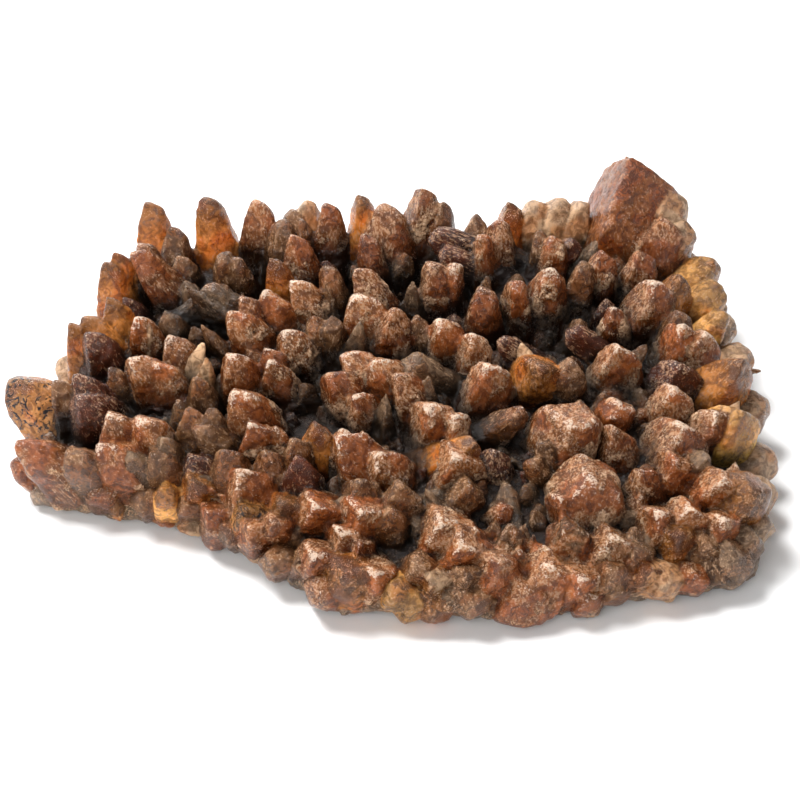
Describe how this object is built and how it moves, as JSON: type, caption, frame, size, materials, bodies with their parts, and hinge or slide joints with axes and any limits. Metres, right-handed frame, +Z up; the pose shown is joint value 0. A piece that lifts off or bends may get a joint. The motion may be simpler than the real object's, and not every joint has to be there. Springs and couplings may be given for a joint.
{
  "type": "amber calcite cluster",
  "caption": "Plate of crust densely grown over with blunt dogtooth calcite crystals, cut flat underneath to rest on a surface.",
  "frame": {"origin": "bottom centre of the bounding box, on the flat underside", "axes": "+X along the cluster's width to the right as pictured, +Y to the back, +Z up through the crystals"},
  "size_m": [0.2366, 0.1822, 0.0617],
  "materials": {
    "amber_calcite": "frosted"
  },
  "bodies": {
    "root": {"calcite_cluster": "amber_calcite"}
  },
  "joints": []
}
